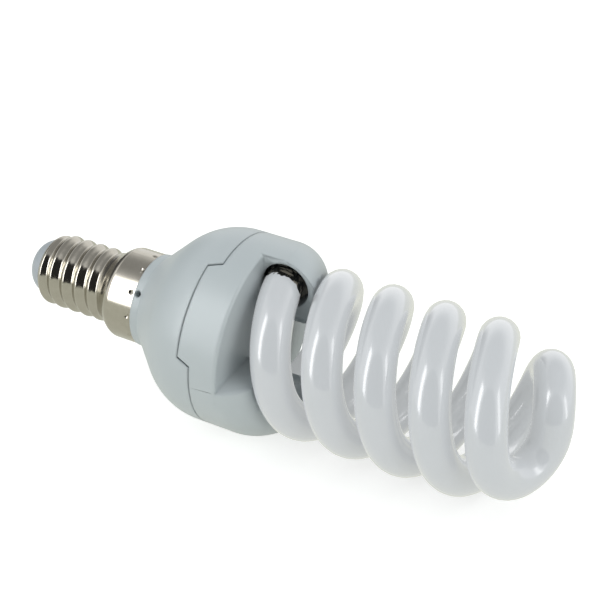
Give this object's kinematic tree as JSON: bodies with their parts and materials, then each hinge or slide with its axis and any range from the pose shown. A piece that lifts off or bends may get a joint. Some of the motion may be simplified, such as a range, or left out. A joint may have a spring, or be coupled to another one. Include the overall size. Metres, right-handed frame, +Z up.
{
  "type": "spiral energy saving bulb",
  "caption": "Compact fluorescent lamp with a double spiral tube, a domed ballast housing and a small screw cap, lying on its side.",
  "frame": {"origin": "centre of the lamp's footprint on the ground it lies on", "axes": "+X from the screw cap towards the spiral tube, +Z up from the ground, +Y away from the side shown"},
  "size_m": [0.1066, 0.0356, 0.0362],
  "materials": {
    "contact_tin": "dull tinned metal",
    "cap_insulator": "pale blue grey moulded insulator",
    "cap_nickel": "bright nickel plated brass sheet",
    "housing_plastic": "smooth cool white moulding",
    "tube_glass": "clear glass over white phosphor coat",
    "cement": "white filler",
    "board_laminate": "brown paper laminate",
    "ferrite": "dark grey ferrite",
    "bobbin_plastic": "black moulding",
    "copper_wire": "enamelled copper",
    "can_sleeve": "aluminium can in a dark shrink sleeve",
    "sleeve": "woven insulating sleeve",
    "film_coating": "dipped red brown coating",
    "epoxy_black": "black moulded epoxy"
  },
  "bodies": {
    "root": {"centre_contact": "contact_tin", "cap_insulator": "cap_insulator", "screw_shell": "cap_nickel", "ballast_housing": "housing_plastic", "tube_cover": "housing_plastic", "spiral_tube": "tube_glass", "tube_cement": "cement", "circuit_board": "board_laminate", "solder_joints": "contact_tin", "choke_core": "ferrite", "choke_bobbin": "bobbin_plastic", "choke_winding": "copper_wire", "smoothing_capacitor": "can_sleeve", "capacitor_legs": "contact_tin", "fuse_resistor": "film_coating", "fuse_sleeve": "sleeve", "live_wires": "contact_tin", "neutral_wire": "contact_tin", "transistor_1": "epoxy_black", "transistor_2": "epoxy_black", "resonant_capacitor": "film_coating", "coupling_capacitor": "film_coating", "start_capacitor": "film_coating", "driver_ring": "ferrite", "driver_windings": "copper_wire", "rectifier_diodes": "epoxy_black", "diac": "film_coating", "resistors": "film_coating", "wrap_pins": "contact_tin", "tube_wires": "contact_tin"}
  },
  "joints": []
}
